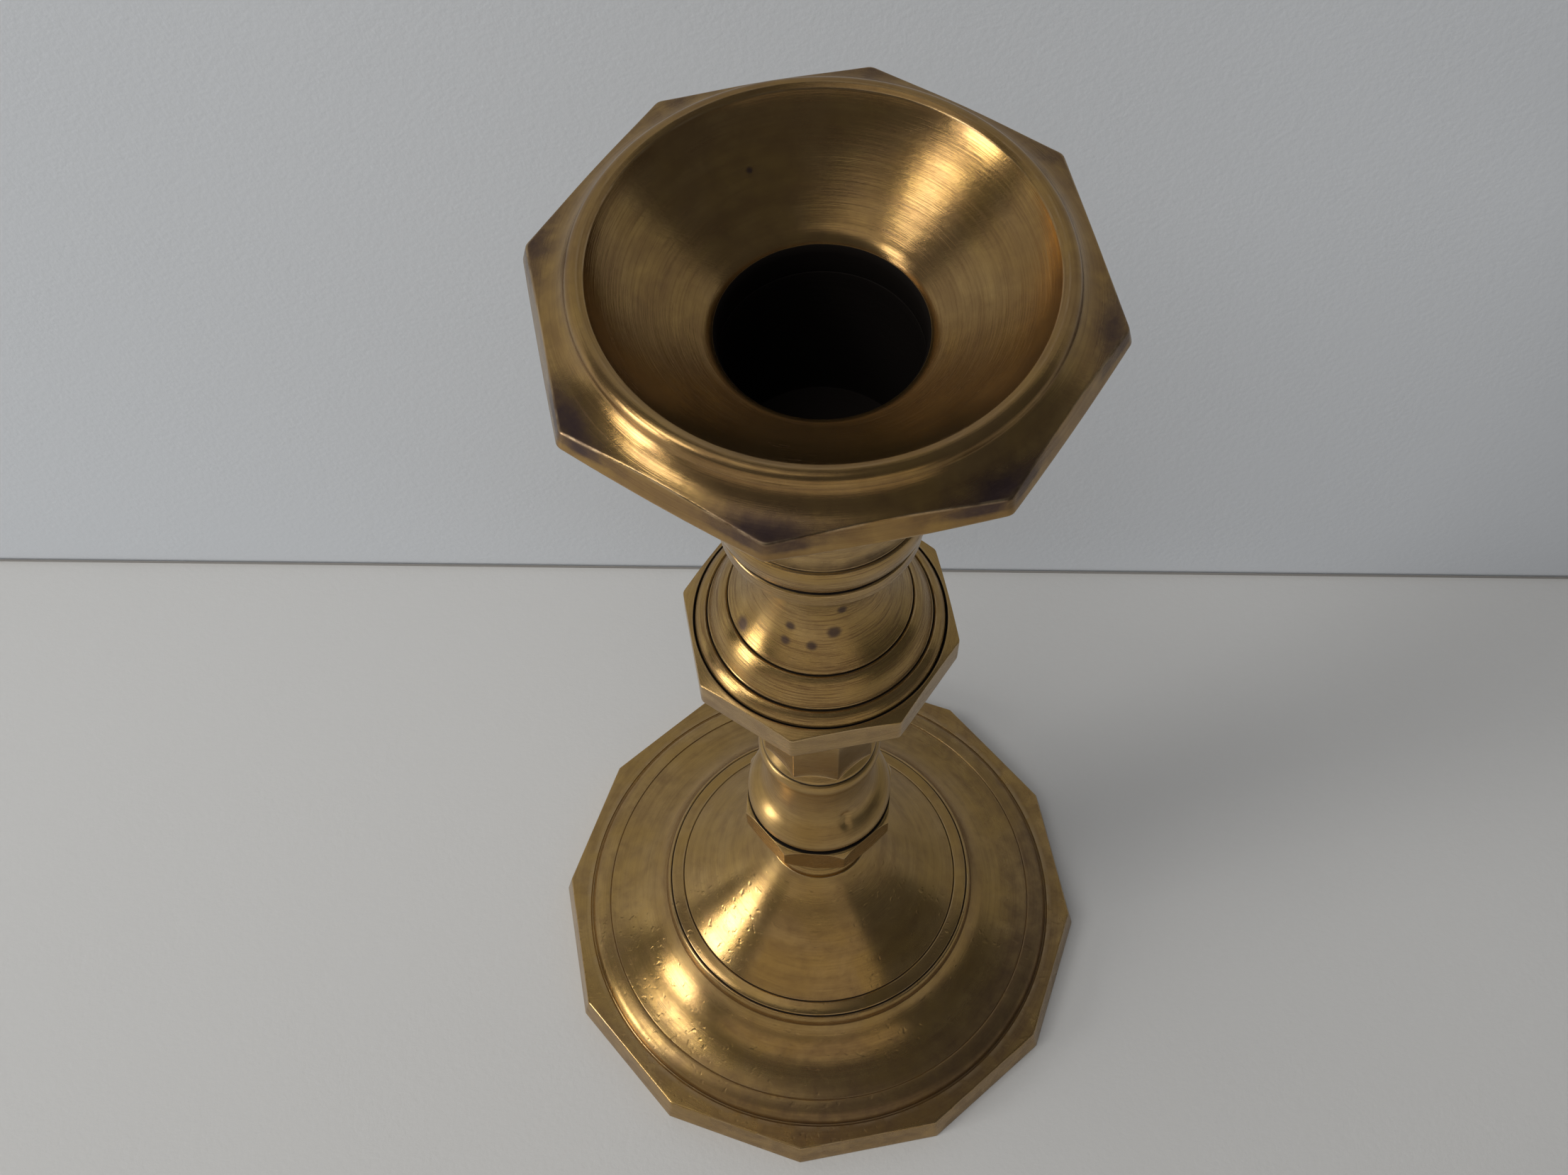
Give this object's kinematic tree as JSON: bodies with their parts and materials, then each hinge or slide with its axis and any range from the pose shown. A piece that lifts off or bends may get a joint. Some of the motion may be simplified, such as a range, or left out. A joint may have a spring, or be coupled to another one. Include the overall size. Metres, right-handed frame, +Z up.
{
  "type": "candlestick",
  "caption": "Brass table candlestick: stepped faceted foot, slender stem of turned and faceted pieces on a tie rod, candle socket and wide drip pan.",
  "frame": {"origin": "centre of the foot, on the table it stands on", "axes": "+Z up along the stem; a corner of the foot points along -Y and another along +X"},
  "size_m": [0.095, 0.095, 0.1866],
  "materials": {
    "foot": "worn polish, tarnished in the hollows",
    "collar": "worn polish, dark grooves",
    "vase": "worn polish",
    "neck": "worn polish",
    "knop": "worn polish, duller edge flats",
    "trumpet": "worn polish, tarnish spots",
    "socket_cup": "worn polish, blackened bore",
    "drip_pan": "worn polish, violet tarnish in the corners",
    "tie_rod": "dull, threaded",
    "washer": "dull plated",
    "hex_nut": "dull plated"
  },
  "bodies": {
    "root": {"foot": "foot", "collar": "collar", "vase": "vase", "neck": "neck", "knop": "knop", "trumpet": "trumpet", "socket_cup": "socket_cup", "drip_pan": "drip_pan", "tie_rod": "tie_rod", "washer": "washer", "hex_nut": "hex_nut"}
  },
  "joints": []
}
